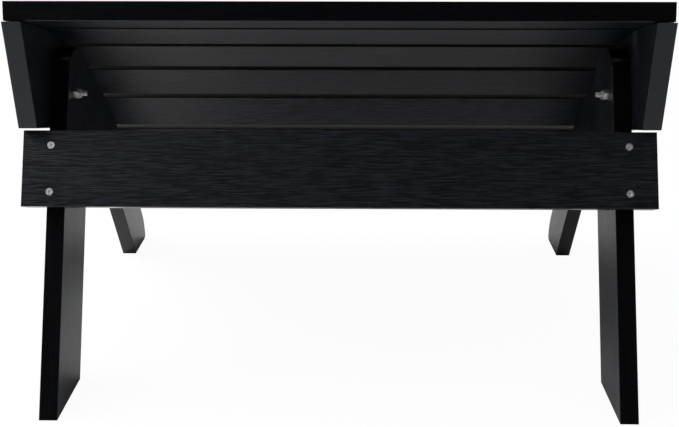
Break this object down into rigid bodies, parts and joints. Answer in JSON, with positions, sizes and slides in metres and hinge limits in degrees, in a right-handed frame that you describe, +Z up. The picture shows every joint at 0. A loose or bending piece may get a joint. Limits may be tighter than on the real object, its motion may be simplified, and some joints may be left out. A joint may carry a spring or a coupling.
{
  "type": "folding slatted outdoor table",
  "caption": "Low black slatted outdoor table or footrest with curved side rails and a leg frame that folds under the slats.",
  "frame": {"origin": "on the floor, midway across the table and midway from the leg frame's feet to the rails' toes", "axes": "+X runs across the table to the right of someone facing its high end, +Y runs from the high end down to the low end, +Z is up"},
  "size_m": [0.7252, 0.482, 0.4452],
  "materials": {
    "plastic_lumber": "satin, with an embossed wood grain",
    "stainless_steel": "bright",
    "nylon": "satin"
  },
  "bodies": {
    "table": {"rail_left": "plastic_lumber", "rail_right": "plastic_lumber", "slat_1": "plastic_lumber", "slat_2": "plastic_lumber", "slat_3": "plastic_lumber", "slat_4": "plastic_lumber", "slat_5": "plastic_lumber", "slat_6": "plastic_lumber", "slat_7": "plastic_lumber", "slat_screws_left": "stainless_steel", "slat_screws_right": "stainless_steel", "pivot_bolt_left": "stainless_steel", "pivot_bolt_right": "stainless_steel", "lock_nut_left": "stainless_steel", "lock_nut_right": "stainless_steel", "nut_ring_left": "nylon", "nut_ring_right": "nylon"},
    "leg_frame": {"leg_left": "plastic_lumber", "leg_right": "plastic_lumber", "apron": "plastic_lumber", "apron_screws_left": "stainless_steel", "apron_screws_right": "stainless_steel"}
  },
  "joints": [
    {"name": "leg_fold", "type": "hinge", "parent": "table", "child": "leg_frame", "pos_m": [0, -0.0514, 0.32801], "axis": [1, 0, 0], "range_deg": [-2.5, 67.9]}
  ]
}
